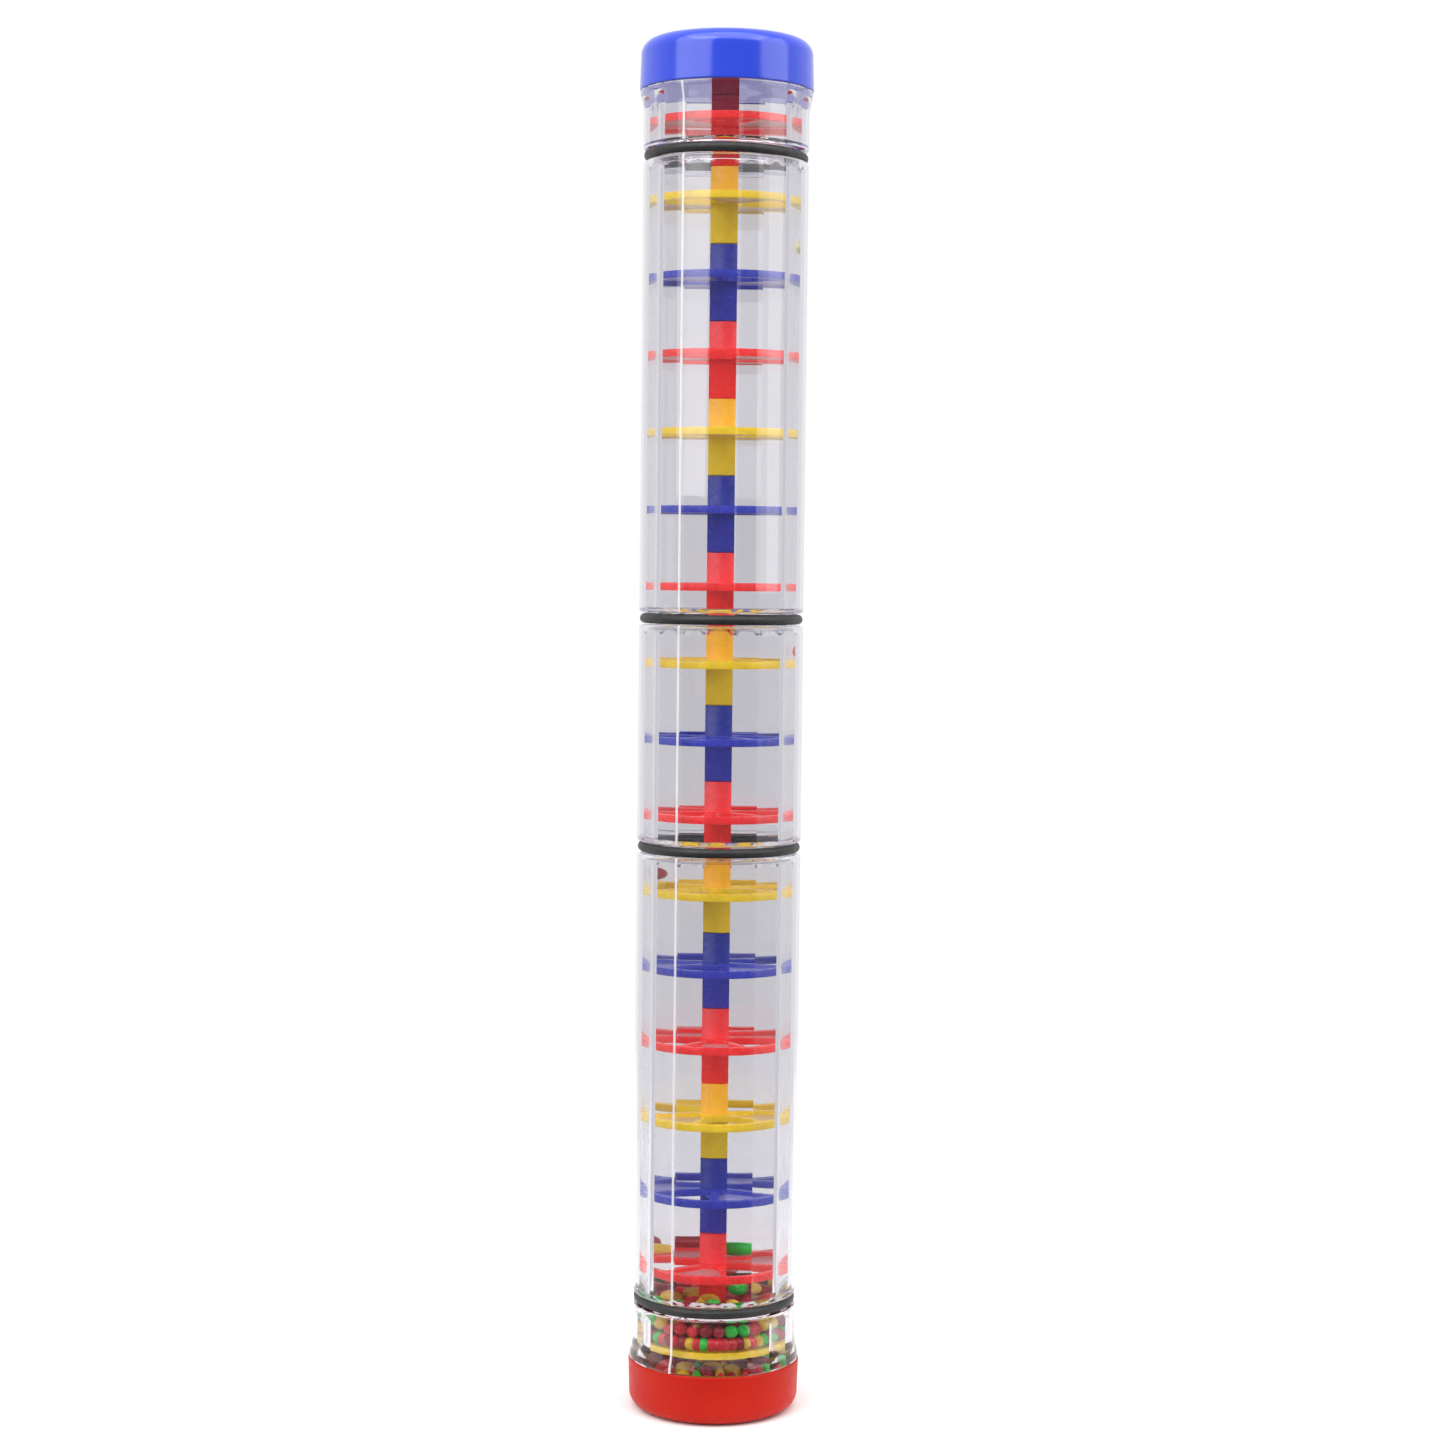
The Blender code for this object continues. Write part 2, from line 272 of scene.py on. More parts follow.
def clear_plastic(name):
    """Clear styrene that lets the lamps reach what is inside it.

    Light caught between the wall's two faces leaks out after a few bounces.
    """
    made, tree, shader = new_material(name)
    shader.inputs["Base Color"].default_value = (0.775, 0.767, 0.795, 1.0)
    shader.inputs["Transmission Weight"].default_value = 1.0
    shader.inputs["IOR"].default_value = STYRENE_IOR
    streaks = noise(tree, 90.0, 2.0, (1.0, 1.0, 0.12))
    tree.links.new(spread(tree, streaks, 0.0, 0.03), shader.inputs["Roughness"])
    add_bump(tree, shader, streaks, 0.01, 0.0001)
    path = node(tree, "ShaderNodeLightPath")
    trapped = node(tree, "ShaderNodeMath", operation="GREATER_THAN")
    trapped.inputs[1].default_value = TRAPPED_BOUNCES
    tree.links.new(path.outputs["Glossy Depth"], trapped.inputs[0])
    leak = node(tree, "ShaderNodeBsdfTransparent")
    leak.inputs["Color"].default_value = (0.75, 0.74, 0.80, 1.0)
    wall = node(tree, "ShaderNodeMixShader")
    tree.links.new(trapped.outputs[0], wall.inputs["Fac"])
    tree.links.new(shader.outputs["BSDF"], wall.inputs[1])
    tree.links.new(leak.outputs["BSDF"], wall.inputs[2])
    pass_through = node(tree, "ShaderNodeBsdfTransparent")
    pass_through.inputs["Color"].default_value = (0.99, 0.99, 1.0, 1.0)
    mix = node(tree, "ShaderNodeMixShader")
    tree.links.new(path.outputs["Is Shadow Ray"], mix.inputs["Fac"])
    tree.links.new(wall.outputs["Shader"], mix.inputs[1])
    tree.links.new(pass_through.outputs["BSDF"], mix.inputs[2])
    tree.links.new(mix.outputs["Shader"], tree.nodes["Material Output"].inputs["Surface"])
    return made


def seam_painted_highlight(name):
    """The same styrene on the parting line's ridge, painted whitish as a painted highlight that stands
    in for the lamps' reflection along the ridge; streaky noise varies its whiteness and roughness.
    """
    made, tree, shader = new_material(name)
    seam_streaks = noise(tree, 700.0, 3.0, (1.0, 1.0, 0.3))
    # Painted highlight: the ridge is coloured near white to stand in for the lamps' reflection along
    # it.
    painted_highlight_white = blend_colours(tree, spread(tree, seam_streaks, 0.0, 1.0), (0.90, 0.90, 0.92), (1.0, 1.0, 1.0))
    tree.links.new(painted_highlight_white, shader.inputs["Base Color"])
    tree.links.new(spread(tree, seam_streaks, 0.30, 0.50), shader.inputs["Roughness"])
    shader.inputs["Transmission Weight"].default_value = 0.35
    shader.inputs["IOR"].default_value = STYRENE_IOR
    return made


def rubber(name):
    """Matt black rubber with a fine grain and faint dusty patches."""
    made, tree, shader = new_material(name)
    dust = spread(tree, noise(tree, 220.0, 4.0), 0.0, 1.0)
    tree.links.new(blend_colours(tree, dust, (0.010, 0.010, 0.010), (0.026, 0.026, 0.027)),
                   shader.inputs["Base Color"])
    tree.links.new(spread(tree, noise(tree, 900.0), 0.42, 0.60), shader.inputs["Roughness"])
    add_bump(tree, shader, noise(tree, 2500.0, 3.0), 0.25, 0.00005)
    return made


def disc_plastic(name, colour, key_tint_and_painted_light):
    """Disc plastic with a little painted glow: emission that stands in for daylight coming through it,
    as it isn't quite opaque.

    The hub's upper half gets a second colour, partly the tint of the key inside it and partly painted
    light and shade on that half.
    """
    made, tree, shader = new_material(name)
    place = node(tree, "ShaderNodeTexCoord")
    parts = node(tree, "ShaderNodeSeparateXYZ")
    tree.links.new(place.outputs["Object"], parts.inputs["Vector"])
    above = node(tree, "ShaderNodeMapRange")
    above.inputs["From Min"].default_value = 11.2 * MM
    above.inputs["From Max"].default_value = 13.4 * MM
    tree.links.new(parts.outputs["Z"], above.inputs["Value"])
    radial = node(tree, "ShaderNodeVectorMath", operation="LENGTH")
    flat = node(tree, "ShaderNodeCombineXYZ")
    tree.links.new(parts.outputs["X"], flat.inputs["X"])
    tree.links.new(parts.outputs["Y"], flat.inputs["Y"])
    tree.links.new(flat.outputs["Vector"], radial.inputs[0])
    hub = node(tree, "ShaderNodeMath", operation="LESS_THAN")
    hub.inputs[1].default_value = (HUB_RADIUS + 0.2) * MM
    tree.links.new(radial.outputs["Value"], hub.inputs[0])
    both = node(tree, "ShaderNodeMath", operation="MULTIPLY")
    tree.links.new(above.outputs["Result"], both.inputs[0])
    tree.links.new(hub.outputs[0], both.inputs[1])
    # Upper hub colour: partly the key's tint, partly painted light and shade.
    base = blend_colours(tree, both.outputs[0], colour, key_tint_and_painted_light)
    flow = spread(tree, noise(tree, 150.0, 3.0, (1.0, 1.0, 0.3)), 0.90, 1.10)
    shade = node(tree, "ShaderNodeVectorMath", operation="SCALE")
    tree.links.new(base, shade.inputs[0])
    tree.links.new(flow, shade.inputs["Scale"])
    tree.links.new(shade.outputs["Vector"], shader.inputs["Base Color"])
    # Painted light: the disc glows in its own colour though it is no lamp.
    tree.links.new(shade.outputs["Vector"], shader.inputs["Emission Color"])
    shader.inputs["Emission Strength"].default_value = 0.13
    tree.links.new(spread(tree, noise(tree, 400.0), 0.22, 0.34), shader.inputs["Roughness"])
    add_bump(tree, shader, noise(tree, 300.0, 2.0), 0.12, 0.0001)
    return made


def web_plastic(name, colour):
    """The thin web between two spokes, which lets some light through."""
    made, tree, shader = new_material(name)
    flow = spread(tree, noise(tree, 250.0, 3.0), 0.0, 1.0)
    tree.links.new(blend_colours(tree, flow, scaled(colour, 0.92), scaled(colour, 1.1)),
                   shader.inputs["Base Color"])
    shader.inputs["Transmission Weight"].default_value = 0.55
    shader.inputs["IOR"].default_value = 1.3
    tree.links.new(spread(tree, noise(tree, 500.0), 0.30, 0.42), shader.inputs["Roughness"])
    return made


def bead_plastic(name, colour, clarity):
    """Glossy translucent bead with darker swirls inside."""
    made, tree, shader = new_material(name)
    swirl = spread(tree, noise(tree, 420.0, 3.0), 0.0, 1.0)
    tree.links.new(blend_colours(tree, swirl, scaled(colour, 0.7), scaled(colour, 1.25)),
                   shader.inputs["Base Color"])
    shader.inputs["Transmission Weight"].default_value = clarity
    shader.inputs["IOR"].default_value = 1.5
    shader.inputs["Subsurface Weight"].default_value = 0.25
    shader.inputs["Subsurface Radius"].default_value = (1.0, 1.0, 1.0)
    shader.inputs["Subsurface Scale"].default_value = 0.001
    tree.links.new(spread(tree, noise(tree, 800.0), 0.05, 0.14), shader.inputs["Roughness"])
    return made


RED = (0.88, 0.026, 0.026)
YELLOW = (0.84, 0.58, 0.020)
BLUE = (0.030, 0.042, 0.40)
# Each disc colour comes with its hub's upper-half colour: key tint plus painted light and shade.
DISC_COLOURS = {
    "disc_red": (RED, (0.94, 0.040, 0.045)),
    "disc_yellow": (YELLOW, (1.0, 0.52, 0.020)),
    "disc_blue": (BLUE, (0.018, 0.030, 0.30)),
}
CYCLE = ("disc_red", "disc_yellow", "disc_blue")
WEB_COLOURS = {
    "disc_red": (0.95, 0.45, 0.45),
    "disc_yellow": (0.98, 0.80, 0.42),
    "disc_blue": (0.40, 0.42, 0.90),
}
BEAD_COLOURS = {
    "green": ((0.035, 0.62, 0.060), 0.12),
    "red": ((0.75, 0.022, 0.035), 0.12),
    "maroon": ((0.36, 0.012, 0.028), 0.10),
    "yellow": ((0.85, 0.52, 0.030), 0.12),
    "pale_yellow": ((0.85, 0.80, 0.45), 0.30),
}


# --- Clear tube sections ---

SEAM = -30.4                   # parting line, degrees from the front
SEAM_HALF = 0.85
SEAM_HEIGHT = 0.22
STATION_STEP = 2.5
SUPPORT = 0.3                  # short band that keeps the long straight wall's shading straight


def stations(turn):
    """Directions of a section's corners; the parting line gets a few of its own."""
    even = [turn + i * STATION_STEP for i in range(int(360.0 / STATION_STEP))]
    centre = turn + (FRONT + SEAM - turn) % 360.0
    kept = [direction for direction in even if abs(direction - centre) > SEAM_HALF + 0.4]
    steps = 8
    kept += [centre + SEAM_HALF * (2.0 * i / steps - 1.0) for i in range(steps + 1)]
    kept += [centre - SEAM_HALF - 0.15, centre + SEAM_HALF + 0.15]
    return sorted(kept), centre


def outer_ring(radius, height, directions, seam, ridge=True):
    points = []
    for direction in directions:
        offset = abs(direction - seam) / SEAM_HALF
        extra = SEAM_HEIGHT * math.sqrt(max(0.0, 1.0 - offset * offset)) if ridge else 0.0
        points.append(polar(radius + extra, direction, height))
    return points


def bore_ring(apothem, height, directions, turn):
    facet = 360.0 / FACETS
    points = []
    for direction in directions:
        across = (direction - turn) % facet - facet / 2.0
        points.append(polar(apothem / math.cos(math.radians(across)), direction, height))
    return points


def section_mesh(number):
    """One clear section: round with a fine parting line outside, flat facets inside."""
    last = number == SECTIONS
    turn = FRONT + (FOOT_TURN if last else FACET_TURN)
    directions, seam = stations(turn)
    low, high = node_mm(f"tube_section_{number}")

    def outer(radius, height, ridge=True):
        return outer_ring(radius, height, directions, seam, ridge)

    def bore(height):
        return bore_ring(BORE_APOTHEM, height, directions, turn)

    def collar(edge, sign):
        """Outside rings from the tube to the cap's edge and on inside the cap."""
        rings = [outer(TUBE_RADIUS, edge - sign * (FLARE_LENGTH + SUPPORT))]
        steps = 12
        for i in range(steps + 1):
            share = i / steps
            swell = share * share * (3.0 - 2.0 * share)
            rings.append(outer(TUBE_RADIUS + (COLLAR_RADIUS - TUBE_RADIUS) * swell,
                               edge - sign * FLARE_LENGTH * (1.0 - share)))
        inside = high.z if sign > 0 else low.z
        rings.append(outer(CAP_BORE - GAP, edge, False))
        rings.append(outer(CAP_BORE - GAP, inside, False))
        rings.append(bore(inside))
        return rings

    def shoulder(edge, sign):
        """Rounded shoulder of a groove, from the tube's side inwards."""
        rings = [outer(TUBE_RADIUS, edge - sign * (SHOULDER_DROP + SUPPORT))]
        steps = 6
        for i in range(steps + 1):
            angle = math.radians(90.0 * i / steps)
            radius = SHOULDER_RADIUS + (TUBE_RADIUS - SHOULDER_RADIUS) * math.cos(angle)
            rings.append(outer(radius, edge - sign * SHOULDER_DROP * (1.0 - math.sin(angle))))
        return rings

    if last:
        lower = collar(CAP_HEIGHT + GAP, -1.0)
    else:
        joint = RING_HEIGHTS[number - 1]
        lower = shoulder(joint + GROOVE_HALF, -1.0) + [
            outer(GROOVE_FLOOR, joint + GROOVE_HALF, False),
            outer(GROOVE_FLOOR, joint - SPIGOT_REACH, False),
            outer(NECK_BORE, joint - SPIGOT_REACH, False),
            outer(NECK_BORE, joint + GROOVE_HALF, False),
            bore(joint + CONE_END),
            bore(joint + CONE_END + SUPPORT),
        ]
    if number == 1:
        upper = collar(LENGTH - CAP_HEIGHT - GAP, 1.0)
    else:
        joint = RING_HEIGHTS[number - 2]
        upper = shoulder(joint - GROOVE_HALF, 1.0) + [
            outer(GROOVE_FLOOR + GAP, joint - GROOVE_HALF, False),
            outer(GROOVE_FLOOR + GAP, joint - SPIGOT_REACH - GAP, False),
            bore(joint - SPIGOT_REACH - GAP - SHOULDER_DROP),
            bore(joint - SPIGOT_REACH - GAP - SHOULDER_DROP - SUPPORT),
        ]
    mesh = skin(list(reversed(lower)) + upper, closed=True)
    # Faces on the parting line's ridge get the second finish, a painted highlight.
    for face in mesh.polygons:
        radius = math.hypot(face.center.x, face.center.y) / MM
        direction = math.degrees(math.atan2(face.center.y, face.center.x)) % 360.0
        on_seam = radius > SHOULDER_RADIUS and abs(direction - seam % 360.0) < SEAM_HALF
        face.material_index = 1 if on_seam else 0
    return mesh


def add_tube():
    # The second finish is a painted highlight along the parting line.
    finishes = [clear_plastic("clear_styrene"), seam_painted_highlight("parting_line_painted_highlight")]
    for number in range(1, SECTIONS + 1):
        mesh = section_mesh(number)
        smooth(mesh, 14.0)
        add_piece(f"clear_section_{number}", mesh, finishes,
                  replaces=[f"tube_section_{number}"])


# --- O-rings ---

CORD_RADIUS = 1.4
RING_RADIUS = 22.4


def add_o_rings():
    finish = rubber("black_rubber")
    sides, around = 24, 160
    tilts = (0.0003, 0.0, 0.0, 0.0)        # metres that a ring's +X side hangs down
    for number, height in enumerate(RING_HEIGHTS, start=1):
        profile = arc((RING_RADIUS, height), CORD_RADIUS, 0.0, 360.0 * (1.0 - 1.0 / sides), sides - 1)
        mesh = turned(profile, around, closed=True)
        lean = tilts[number - 1] / (RING_RADIUS * MM)
        for vertex in mesh.vertices:
            vertex.co.z -= lean * vertex.co.x
        smooth(mesh, 60.0)
        add_piece(f"rubber_ring_{number}", mesh, [finish],
                  replaces=[f"o_ring_{number}"])


# --- Caps ---

CAP_SHOULDER_RADIUS = 24.9
CAP_CORNER = 4.5
EDGE_ROUND = 0.35


def cap_mesh(boss_top):
    """A cup on its flat end, with rounded outer corner, rounded mouth and a central boss.

    Faces of the bore get the second finish and faces of the boss the third.
    """
    corner_centre = (CAP_SHOULDER_RADIUS - CAP_CORNER, CAP_CORNER)
    profile = arc(corner_centre, CAP_CORNER, -90.0, 0.0, 16)
    profile += [(CAP_SHOULDER_RADIUS, CAP_CORNER + 0.4), (CAP_RADIUS, CAP_HEIGHT - EDGE_ROUND - 0.4)]
    profile += arc((CAP_RADIUS - EDGE_ROUND, CAP_HEIGHT - EDGE_ROUND), EDGE_ROUND, 0.0, 90.0, 4)
    profile += arc((CAP_BORE + EDGE_ROUND, CAP_HEIGHT - EDGE_ROUND), EDGE_ROUND, 90.0, 180.0, 4)
    profile += [(CAP_BORE, CAP_PLATE), (HUB_RADIUS, CAP_PLATE), (HUB_RADIUS, boss_top)]
    mesh = turned(profile, 160)
    for face in mesh.polygons:
        radius = math.hypot(face.center.x, face.center.y) / MM
        height = face.center.z / MM
        # In the blue cap, the bore's finish is painted light and the boss's finish is painted shade.
        in_bore = height > CAP_PLATE - 0.1 and radius < CAP_BORE + 0.01
        if in_bore:
            face.material_index = 1 if radius > HUB_RADIUS + 0.1 else 2
    return mesh


def add_caps():
    upper = cap_mesh(LENGTH - STACK_TOP - GAP)
    upper.transform(Matrix.Translation((0.0, 0.0, LENGTH * MM)) @ Matrix.Rotation(math.pi, 4, "X"))
    smooth(upper, 40.0)
    blue = moulded_plastic("blue_cap_plastic", (0.026, 0.066, 0.66), 0.16, shine=0.7)
    # The bore's pale lilac and its glow are painted light: they stand in for daylight coming through
    # the cap's wall into its shaded inside.
    bore = moulded_plastic("blue_cap_bore_painted_light", (0.60, 0.62, 0.95), 0.30, glow=0.5)
    # The boss is dark crimson like the darkened hub below it: painted shade under the cap.
    boss = moulded_plastic("blue_cap_boss", (0.45, 0.010, 0.040), 0.25)
    add_piece("blue_cap", upper, [blue, bore, boss], replaces=["top_cap"])
    lower = cap_mesh(STACK_TOP - DISCS * PITCH - GAP)
    smooth(lower, 40.0)
    red = moulded_plastic("red_cap_plastic", (0.48, 0.012, 0.003), 0.42, shine=0.15)
    add_piece("red_cap", lower, [red] * 3, replaces=["bottom_cap"])


# --- Discs ---

RIM_BORE = 18.4
WEB_TOP = 0.9
WEB_RECESS = 0.12
SECTORS = 3
OPENING_HALF_ANGLE = 32.0
SPOKE_HALF = 0.9
SECTOR_INNER = 5.8
SECTOR_FILLET = 1.6
DISC_STEP = 45.0
FIRST_DISC_TURN = 147.0
DISC_EDGE = 0.25
KEY_HALF = 1.9                 # half the side of the square key below a disc
KEY_LENGTH = 10.2
FOOT_KEY_LENGTH = 4.7


def sector_outline(half_angle):
    """One slot or web between two spokes, centred on +X, with rounded hub corners."""
    sweep = half_angle - math.degrees(math.asin(SPOKE_HALF / RIM_BORE))
    steps = 20
    points = [polar(RIM_BORE, sweep * (2.0 * i / steps - 1.0)) for i in range(steps + 1)]
    reach = SECTOR_INNER + SECTOR_FILLET
    centre = half_angle - math.degrees(math.asin((SPOKE_HALF + SECTOR_FILLET) / reach))
    corner = []
    fillet_steps = 5
    start, end = half_angle + 90.0, 180.0 + centre
    for i in range(fillet_steps + 1):
        corner.append(polar(reach, centre)
                      + polar(SECTOR_FILLET, start + (end - start) * i / fillet_steps))
    inner_steps = 4
    inner = [polar(SECTOR_INNER, centre * (1.0 - 2.0 * i / inner_steps)) for i in range(1, inner_steps)]
    mirrored = [Vector((point.x, -point.y, 0.0)) for point in reversed(corner)]
    return points + corner + inner + mirrored


def sector_cutter(half_angle, first, spans):
    shape = bmesh.new()
    outline = sector_outline(half_angle)
    for i in range(SECTORS):
        spin = Matrix.Rotation(math.radians(first + 360.0 * i / SECTORS), 3, "Z")
        for bottom, top in spans:
            low = [shape.verts.new((spin @ p + Vector((0.0, 0.0, bottom))) * MM) for p in outline]
            high = [shape.verts.new((spin @ p + Vector((0.0, 0.0, top))) * MM) for p in outline]
            shape.faces.new(reversed(low))
            shape.faces.new(high)
            for a in range(len(outline)):
                b = (a + 1) % len(outline)
                shape.faces.new((low[a], low[b], high[b], high[a]))
    return to_mesh(shape)


def changed(mesh, modifiers):
    """The mesh after a list of (type, settings, tool mesh or None) modifiers."""
    body = bpy.data.objects.new("body", mesh)
    bpy.context.collection.objects.link(body)
    helpers = []
    for kind, settings, tool in modifiers:
        change = body.modifiers.new(kind.title(), kind)
        for key, value in settings.items():
            setattr(change, key, value)
        if tool:
            helper = bpy.data.objects.new("tool", tool)
            bpy.context.collection.objects.link(helper)
            change.object = helper
            helpers.append(helper)
    view = bpy.context.evaluated_depsgraph_get()
    result = bpy.data.meshes.new_from_object(body.evaluated_get(view))
    for item in [body] + helpers:
        bpy.data.objects.remove(item, do_unlink=True)
    return result


def disc_mesh(key_length):
    """Hub, plate with rim, spokes and webs; edges softened."""
    middle = PITCH / 2.0 + PLATE_RISE
    bottom = middle - PLATE_THICKNESS / 2.0
    top = middle + PLATE_THICKNESS / 2.0
    hub_top = PITCH - GAP
    over = 1.0
    key_corner = KEY_HALF * math.sqrt(2.0)
    socket_corner = (KEY_HALF + GAP) * math.sqrt(2.0)
    plate = turned([(PLATE_RADIUS, bottom), (PLATE_RADIUS, top)], 96)
    hub = turned([(HUB_RADIUS, 0.0), (HUB_RADIUS, hub_top)], 48)
    slots = sector_cutter(OPENING_HALF_ANGLE, 0.0, [(bottom - over, top + over)])
    web_half_angle = 180.0 / SECTORS - OPENING_HALF_ANGLE
    spans = [(bottom + WEB_TOP, top + over), (bottom - over, bottom + WEB_RECESS)]
    webs = sector_cutter(web_half_angle, 180.0 / SECTORS, spans)
    cut = {"operation": "DIFFERENCE", "solver": "EXACT"}
    join = {"operation": "UNION", "solver": "EXACT"}
    soften = {"width": DISC_EDGE * MM, "segments": 2, "limit_method": "ANGLE",
              "angle_limit": math.radians(50.0), "use_clamp_overlap": True}
    spigot = turned([(key_corner, -key_length), (key_corner, over)], 4)
    spigot.transform(Matrix.Rotation(math.radians(45.0), 4, "Z"))
    socket = turned([(socket_corner, hub_top - key_length - GAP), (socket_corner, hub_top + over)], 4)
    mesh = changed(plate, [
        ("BOOLEAN", cut, slots),
        ("BOOLEAN", cut, webs),
        ("BOOLEAN", join, hub),
        ("BOOLEAN", join, spigot),
        ("BOOLEAN", cut, socket),
        ("BEVEL", soften, None),
    ])
    web_levels = ((bottom + WEB_RECESS) * MM, (bottom + WEB_TOP) * MM)
    for face in mesh.polygons:
        flat = abs(face.normal.z) > 0.9
        level = min(abs(face.center.z - height) for height in web_levels)
        face.material_index = 1 if flat and level < 0.05 * MM else 0
    smooth(mesh, 35.0)
    return mesh


def add_discs():
    finishes = {name: [disc_plastic(f"{name}_plastic", *DISC_COLOURS[name]),
                       web_plastic(f"{name}_web", WEB_COLOURS[name])] for name in CYCLE}
    # Disc 1's hub is much darker above the plate, under the cap: painted shade.
    capped = [disc_plastic("disc_red_painted_cap_shade", RED, (0.34, 0.010, 0.030)), finishes["disc_red"][1]]
    full = disc_mesh(KEY_LENGTH)
    foot = disc_mesh(FOOT_KEY_LENGTH)
    for number in range(1, DISCS + 1):
        name = CYCLE[(number - 1) % len(CYCLE)]
        mesh = (foot if number == DISCS else full).copy()
        base = STACK_TOP - number * PITCH
        turn = math.radians(FIRST_DISC_TURN - DISC_STEP * (number - 1))
        place = Matrix.Translation((0.0, 0.0, base * MM)) @ Matrix.Rotation(turn, 4, "Z")
        add_piece(f"slotted_disc_{number:02d}", mesh, capped if number == 1 else finishes[name],
                  replaces=[f"disc_{number:02d}"], place=place)


# --- Beads ---

HEAP_DISC = 16                 # the upper heap ends just below this disc's plate
HEAP_TOP = STACK_TOP - HEAP_DISC * PITCH + PITCH / 2.0 + PLATE_RISE - PLATE_THICKNESS / 2.0 - GAP
LOWER_COUNT, LOWER_SEED = 385, 4
UPPER_COUNT, UPPER_SEED = 470, 9
COLOUR_SEED = 21


def sphere(radius):
    shape = bmesh.new()
    bmesh.ops.create_icosphere(shape, subdivisions=3, radius=radius)
    return shape


def loose_beads():
    """(node, colour, centre in mm) of each bead that the CAD has as a piece of its own."""
    slots = {part["node"]: part["material_slot"] for part in frame["record"]["subparts"]}
    found = []
    for name in sorted(slots):
        slot = slots[name]
        if slot.startswith("bead_") and slot != "bead_mix":
            low, high = node_mm(name)
            found.append((name, slot[len("bead_"):], (low + high) / 2.0))
    return found


def heap(count, floor, ceiling, reach, fixed, seed):
    """Centres of beads that have settled in a ring-shaped bay; reach(z) limits their distance."""
    random = np.random.default_rng(seed)
    size = 2.0 * BEAD_RADIUS
    angle = random.uniform(0.0, math.tau, count)
    inner = HUB_RADIUS + BEAD_RADIUS
    radius = np.sqrt(random.uniform(inner ** 2, (reach(floor)) ** 2, count))
    spot = np.stack([radius * np.cos(angle), radius * np.sin(angle),
                     random.uniform(floor, ceiling, count)], axis=1)
    passes = 260
    for step in range(passes):
        spot[:, 2] -= 0.25 * (1.0 - step / passes)
        everyone = np.vstack([spot, fixed]) if len(fixed) else spot
        away = spot[:, None, :] - everyone[None, :, :]
        distance = np.linalg.norm(away, axis=2)
        distance[np.arange(count), np.arange(count)] = 1e9
        overlap = np.clip(size - distance, 0.0, None)
        touching = (overlap > 0.0).sum(axis=1)
        push = (away / np.maximum(distance, 1e-6)[:, :, None] * overlap[:, :, None]).sum(axis=1)
        spot += 0.55 * push / np.maximum(touching, 1)[:, None] * 1.6
        limit = reach(spot[:, 2])
        out = np.hypot(spot[:, 0], spot[:, 1])
        scale = np.clip(out, inner, limit) / np.maximum(out, 1e-6)
        spot[:, 0] *= scale
        spot[:, 1] *= scale
        spot[:, 2] = np.clip(spot[:, 2], floor + BEAD_RADIUS, ceiling - BEAD_RADIUS)
    return spot


def add_beads():
    finishes = {name: bead_plastic(f"{name}_bead", *BEAD_COLOURS[name]) for name in BEAD_COLOURS}
    loose = loose_beads()
    for name, colour, centre in loose:
        mesh = to_mesh(sphere(BEAD_RADIUS * MM))
        mesh.transform(Matrix.Translation(centre * MM))
        mesh.shade_smooth()
        add_piece(f"loose_{name}", mesh, [finishes[colour]], body=name,
                  replaces=[name])

    wall = BORE_APOTHEM - BEAD_RADIUS
    neck = NECK_BORE - BEAD_RADIUS
    joint = RING_HEIGHTS[-1]

    def plain_reach(z):
        return np.full(np.shape(z), wall)

    def necked_reach(z):
        inside = (np.asarray(z) > joint - SPIGOT_REACH - 1.2) & (np.asarray(z) < joint + CONE_END + 0.6)
        return np.where(inside, neck, wall)

    lower_low, lower_high = node_mm("bead_bed_lower")
    upper_low = node_mm("bead_bed_upper")[0]
    resting = np.array([list(centre) for name, colour, centre in loose if "bed" in name])
    lower = heap(LOWER_COUNT, lower_low.z, lower_high.z, plain_reach, (), LOWER_SEED)
    upper = heap(UPPER_COUNT, upper_low.z, HEAP_TOP, necked_reach, resting, UPPER_SEED)
    beds = (("bead_bed_lower", lower), ("bead_bed_upper", upper))
    colours = ("green", "red", "maroon", "yellow")
    shares = (0.22, 0.26, 0.29, 0.23)
    random = np.random.default_rng(COLOUR_SEED)
    for bed, centres in beds:
        picks = random.choice(len(colours), size=len(centres), p=shares)
        sizes = random.uniform(0.95, 1.0, len(centres))
        for index, colour in enumerate(colours):
            shape = bmesh.new()
            for spot, size, pick in zip(centres, sizes, picks):
                if pick == index:
                    place = Matrix.Translation(Vector(spot) * MM)
                    bmesh.ops.create_icosphere(shape, subdivisions=3,
                                               radius=BEAD_RADIUS * MM * size, matrix=place)
            mesh = to_mesh(shape)
            mesh.shade_smooth()
            level = bed.rsplit("_", 1)[1]
            add_piece(f"{level}_heap_{colour}", mesh, [finishes[colour]],
                      replaces=[bed])


# --- Floor and light ---

FLOOR_RADIUS = 0.36
FLOOR_FRONT = 0.06              # how far the floor runs in front of the object, metres


def add_floor():
    shape = bmesh.new()
    bmesh.ops.create_circle(shape, cap_ends=True, segments=96, radius=FLOOR_RADIUS)
    floor = bpy.data.objects.new("floor", to_mesh(shape))
    bpy.context.collection.objects.link(floor)
    made, _, shader = new_material("pale_floor")
    shader.inputs["Base Color"].default_value = (0.96, 0.96, 0.96, 1.0)
    shader.inputs["Roughness"].default_value = 0.9
    floor.data.materials.append(made)
    floor.location = (0.0, FLOOR_RADIUS - FLOOR_FRONT, -0.0002)


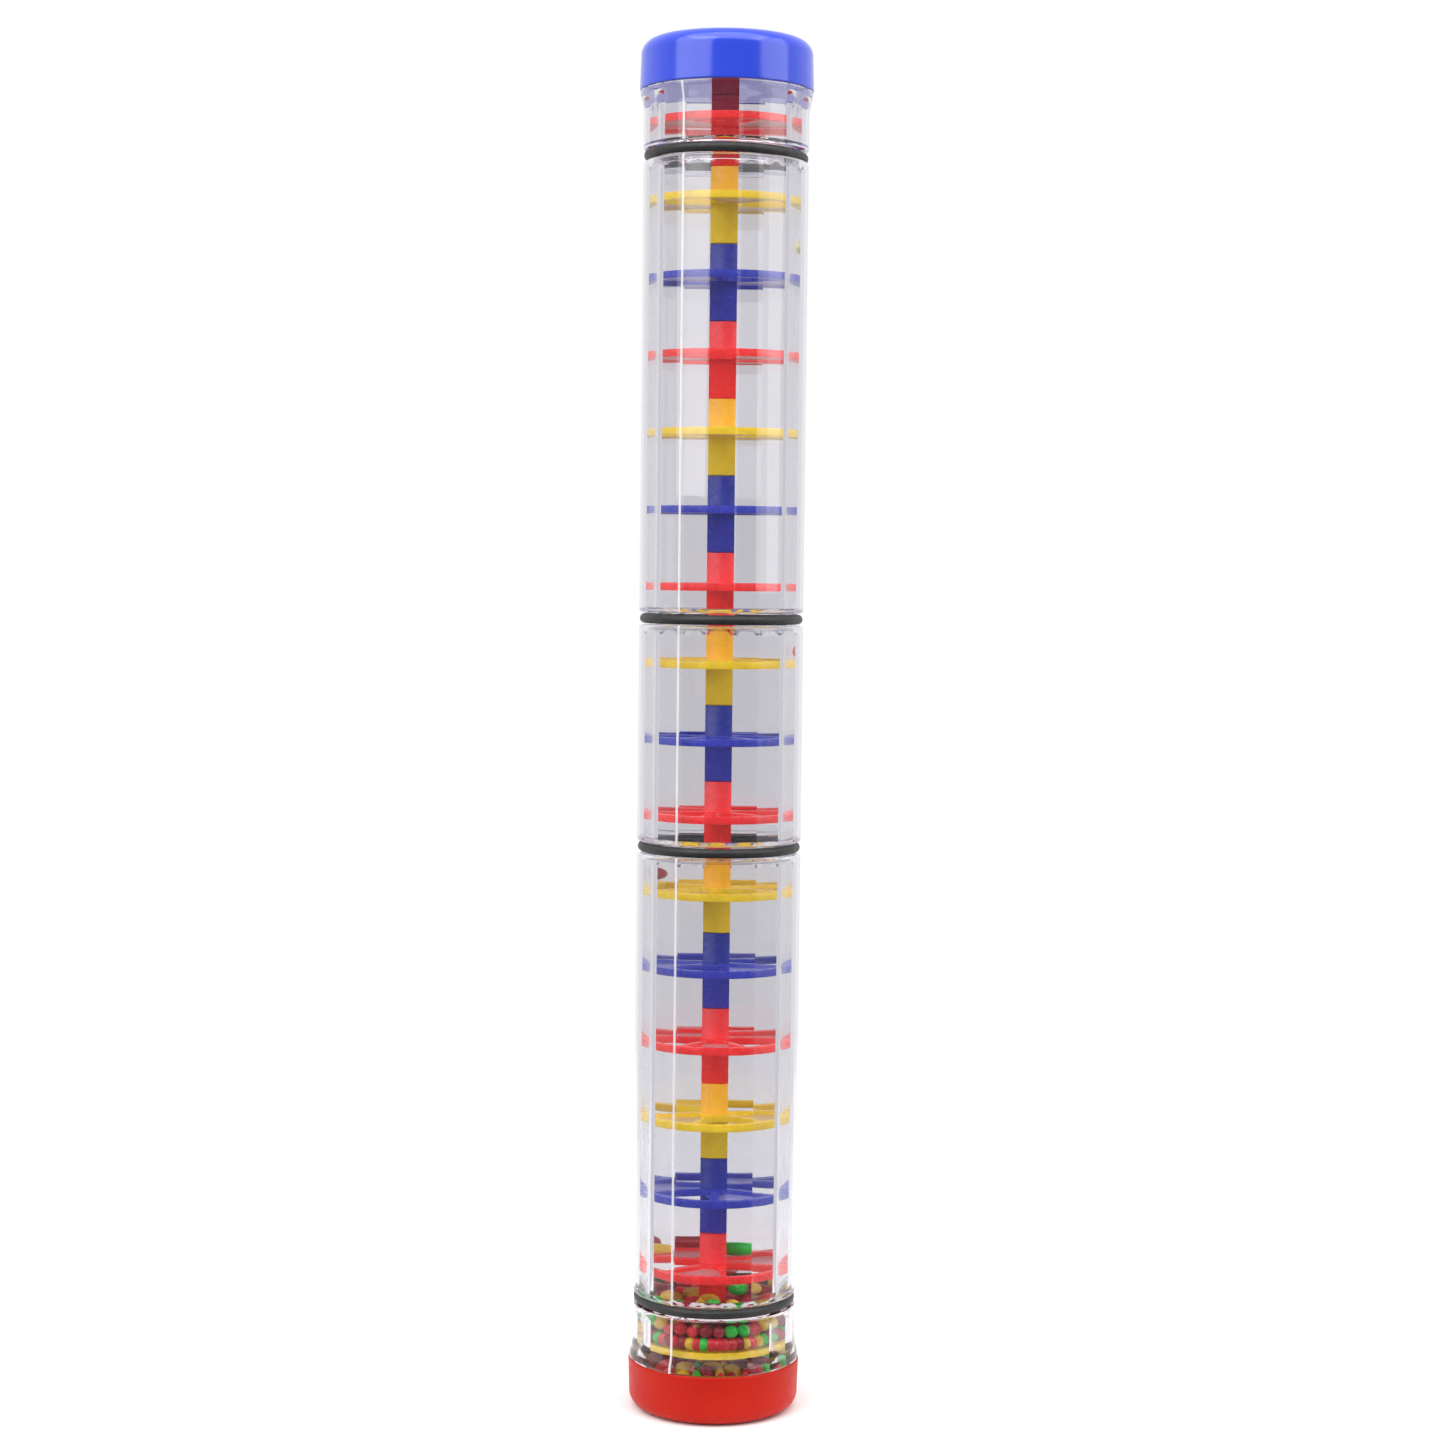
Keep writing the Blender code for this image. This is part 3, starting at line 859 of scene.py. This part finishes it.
def add_panel(name, azimuth, distance, width, height, centre_height, radiance):
    """A soft panel facing the object; azimuth is in degrees from the front towards +X."""
    data = bpy.data.lights.new(name, "AREA")
    data.shape = "RECTANGLE"
    data.size = width
    data.size_y = height
    data.energy = radiance * math.pi * width * height
    lamp = bpy.data.objects.new(name, data)
    bpy.context.collection.objects.link(lamp)
    angle = math.radians(FRONT + azimuth)
    lamp.location = (distance * math.cos(angle), distance * math.sin(angle), centre_height)
    target = Vector((0.0, 0.0, 0.2))
    lamp.rotation_euler = (target - lamp.location).to_track_quat("-Z", "Y").to_euler()
    lamp.visible_camera = False


def add_light():
    add_panel("left_panel", -46.0, 1.05, 1.05, 1.10, 0.78, 2.3)
    add_panel("right_panel", 66.0, 1.05, 0.85, 1.10, 0.72, 2.0)
    add_panel("top_panel", 0.0, 0.60, 1.80, 1.00, 1.25, 2.4)
    world = bpy.data.worlds.new("studio")
    bpy.context.scene.world = world
    world.use_nodes = True
    tree = world.node_tree
    background = tree.nodes["Background"]
    background.inputs["Color"].default_value = (1.0, 1.0, 1.0, 1.0)
    place = node(tree, "ShaderNodeTexCoord")
    parts = node(tree, "ShaderNodeSeparateXYZ")
    tree.links.new(place.outputs["Generated"], parts.inputs["Vector"])
    behind = node(tree, "ShaderNodeMapRange")
    behind.inputs["From Min"].default_value = -0.75
    behind.inputs["From Max"].default_value = 0.40
    behind.inputs["To Min"].default_value = 0.18
    behind.inputs["To Max"].default_value = 1.0
    tree.links.new(parts.outputs["Y"], behind.inputs["Value"])
    path = node(tree, "ShaderNodeLightPath")
    seen = node(tree, "ShaderNodeMix", data_type="FLOAT")
    tree.links.new(path.outputs["Is Camera Ray"], seen.inputs["Factor"])
    tree.links.new(behind.outputs["Result"], seen.inputs["A"])
    seen.inputs["B"].default_value = 1.0
    tree.links.new(seen.outputs["Result"], background.inputs["Strength"])
    bpy.context.scene.view_settings.view_transform = "Standard"


add_tube()
add_o_rings()
add_caps()
add_discs()
add_beads()
add_floor()
add_light()
